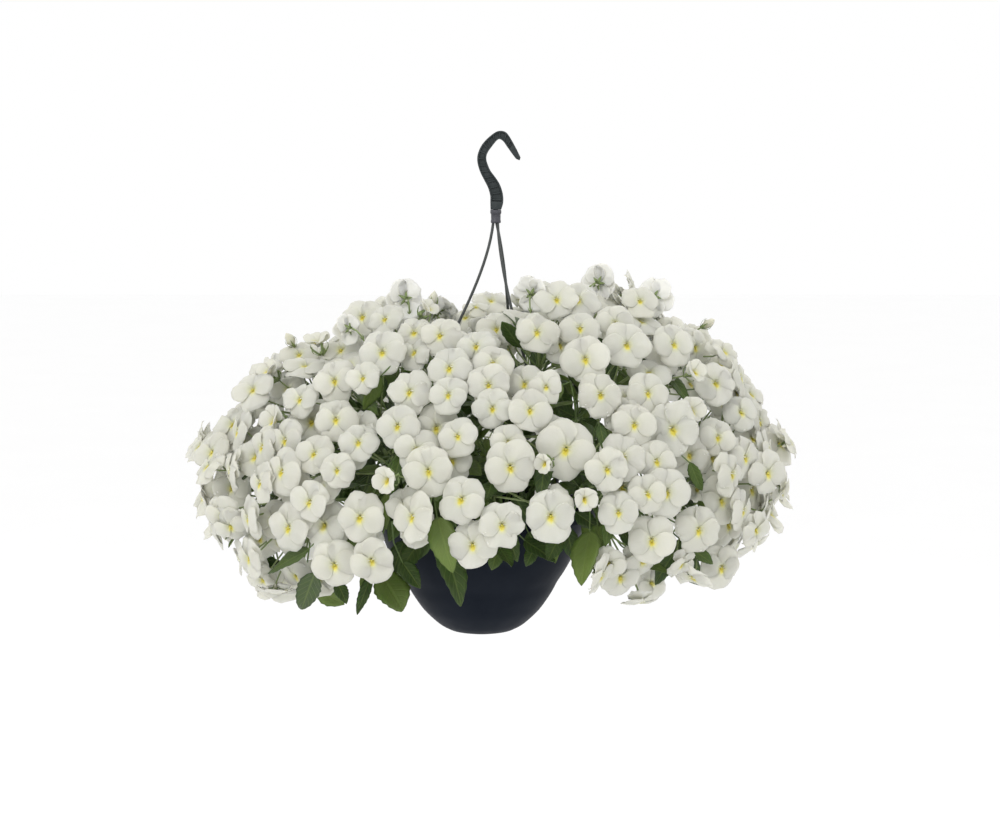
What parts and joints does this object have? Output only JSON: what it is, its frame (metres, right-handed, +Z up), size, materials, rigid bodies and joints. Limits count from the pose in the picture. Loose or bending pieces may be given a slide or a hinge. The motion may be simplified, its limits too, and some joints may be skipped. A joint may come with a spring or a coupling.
{
  "type": "hanging basket of trailing viola",
  "caption": "Hanging basket: dark bowl with a hook and strand hanger, filled with a round mound of trailing white violas.",
  "frame": {"origin": "seat of the hook: the top of the inside of its curve, where it bears on whatever holds the basket", "axes": "+Z up; the hook's curve lies in the XZ plane with its tip towards +X; -Y is the front, the side the picture shows"},
  "size_m": [0.5924, 0.545, 0.5001],
  "materials": {
    "pot": "satin",
    "soil": "matte",
    "hook": "satin",
    "collar": "satin",
    "strand": "satin",
    "petal": "matte",
    "leaf": "satin"
  },
  "bodies": {
    "root": {"pot_bowl": "pot", "potting_soil": "soil", "hanger_hook": "hook", "strand_collar": "collar", "strand_left": "strand", "strand_right": "strand", "strand_back": "strand", "shoot_01": "petal", "shoot_02": "petal", "shoot_03": "petal", "shoot_04": "petal", "shoot_05": "petal", "shoot_06": "petal", "shoot_07": "petal", "shoot_08": "petal", "shoot_09": "petal", "shoot_10": "petal", "shoot_11": "petal", "shoot_12": "petal", "shoot_13": "petal", "shoot_14": "petal", "shoot_15": "petal", "shoot_16": "petal", "shoot_17": "petal", "shoot_18": "petal", "shoot_19": "petal", "shoot_20": "petal", "shoot_21": "petal", "shoot_22": "petal", "shoot_23": "petal", "shoot_24": "petal", "shoot_25": "petal", "shoot_26": "petal", "shoot_27": "petal", "shoot_28": "petal", "shoot_29": "petal", "shoot_30": "petal", "shoot_31": "petal", "shoot_32": "petal", "shoot_33": "petal", "shoot_34": "petal", "shoot_35": "petal", "shoot_36": "petal", "shoot_37": "petal", "shoot_38": "petal", "shoot_39": "petal", "shoot_40": "petal", "shoot_41": "petal", "shoot_42": "petal"}
  },
  "joints": []
}
